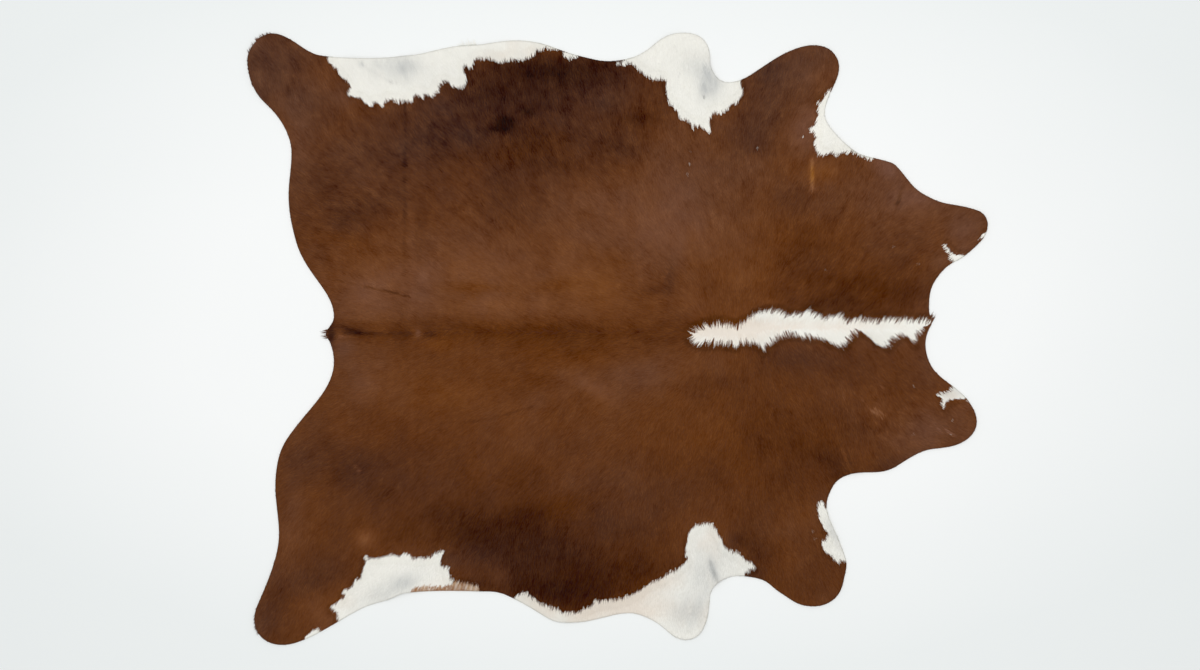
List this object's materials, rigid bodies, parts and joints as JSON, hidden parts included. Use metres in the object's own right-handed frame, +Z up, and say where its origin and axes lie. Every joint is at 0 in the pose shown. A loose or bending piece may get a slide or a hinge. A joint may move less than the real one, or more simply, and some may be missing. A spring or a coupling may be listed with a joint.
{
  "type": "cowhide rug",
  "caption": "Whole cowhide floor rug, hair side up: brown, with white belly edges, shanks and cheeks and a narrow white mark along the withers, in its natural outline of shanks and cheek flaps.",
  "frame": {"origin": "on the floor, under the middle of the hide's bounding box", "axes": "+X runs along the backbone from the tail to the neck, +Y to the animal's left side, +Z up from the floor"},
  "size_m": [2.302, 1.9041, 0.0112],
  "materials": {
    "hair_coat": "short hair lying flat, with a soft sheen, brown and white",
    "suede_skin": "matt suede, the flesh side and the cut edge"
  },
  "bodies": {
    "root": {"hide": "hair_coat"}
  },
  "joints": []
}
